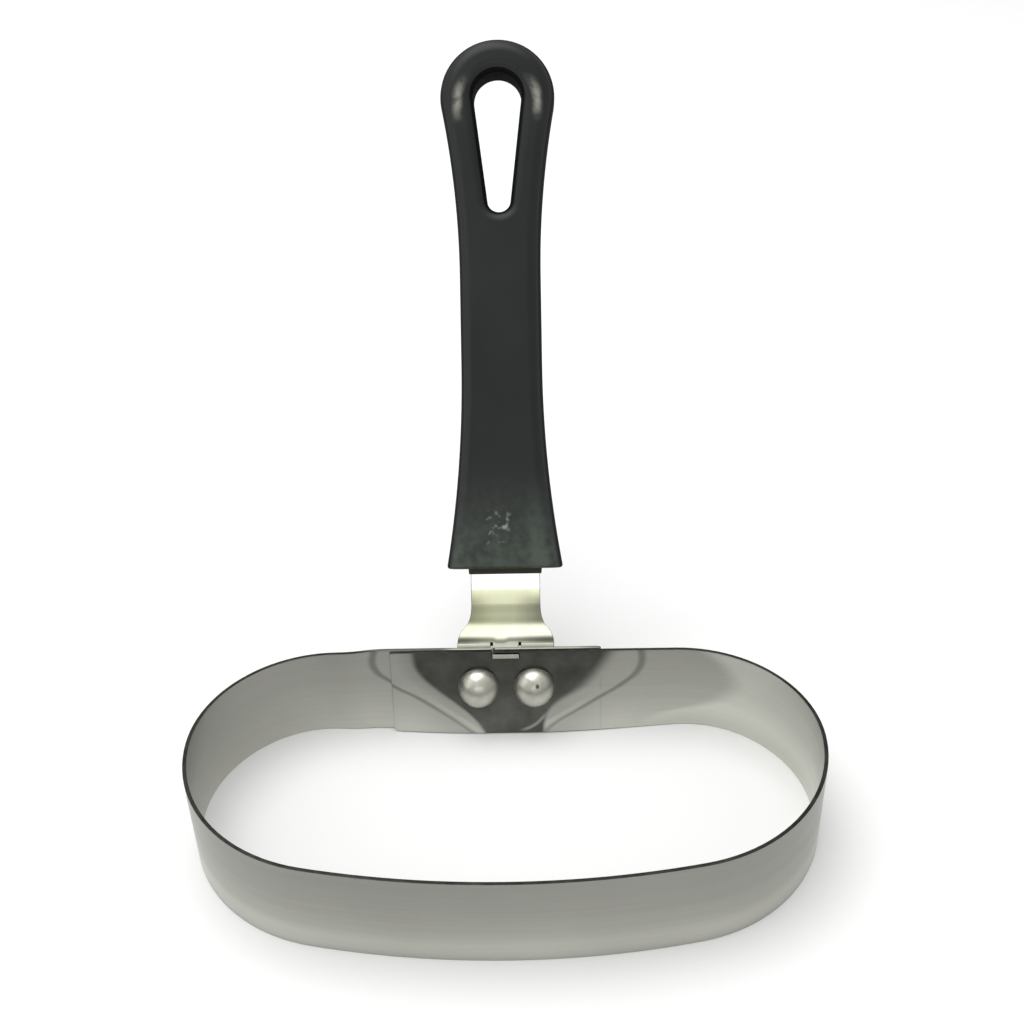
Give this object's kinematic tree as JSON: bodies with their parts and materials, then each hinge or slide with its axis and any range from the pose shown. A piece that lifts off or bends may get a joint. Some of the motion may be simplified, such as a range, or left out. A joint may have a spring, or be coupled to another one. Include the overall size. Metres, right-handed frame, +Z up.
{
  "type": "egg ring",
  "caption": "Standing egg ring: a D shaped oval band of thin stainless strip, lapped at the back, with a riveted bent bracket and a slanting dark handle with a hanging hole.",
  "frame": {"origin": "on the floor, in the middle of the ring's rear wall, halfway through the wall's inner layer, straight below the handle's centre plane", "axes": "+Z up, +Y from the ring towards the handle, +X to the right for someone who faces the ring with the handle behind it"},
  "size_m": [0.14, 0.1648, 0.1396],
  "materials": {
    "band_steel": "satin",
    "bracket_steel": "polished",
    "handle_plastic": "satin",
    "rivet_steel": "satin"
  },
  "bodies": {
    "root": {"ring_band": "band_steel", "handle_bracket": "bracket_steel", "handle_grip": "handle_plastic", "rivet_left": "rivet_steel", "rivet_right": "rivet_steel"}
  },
  "joints": []
}
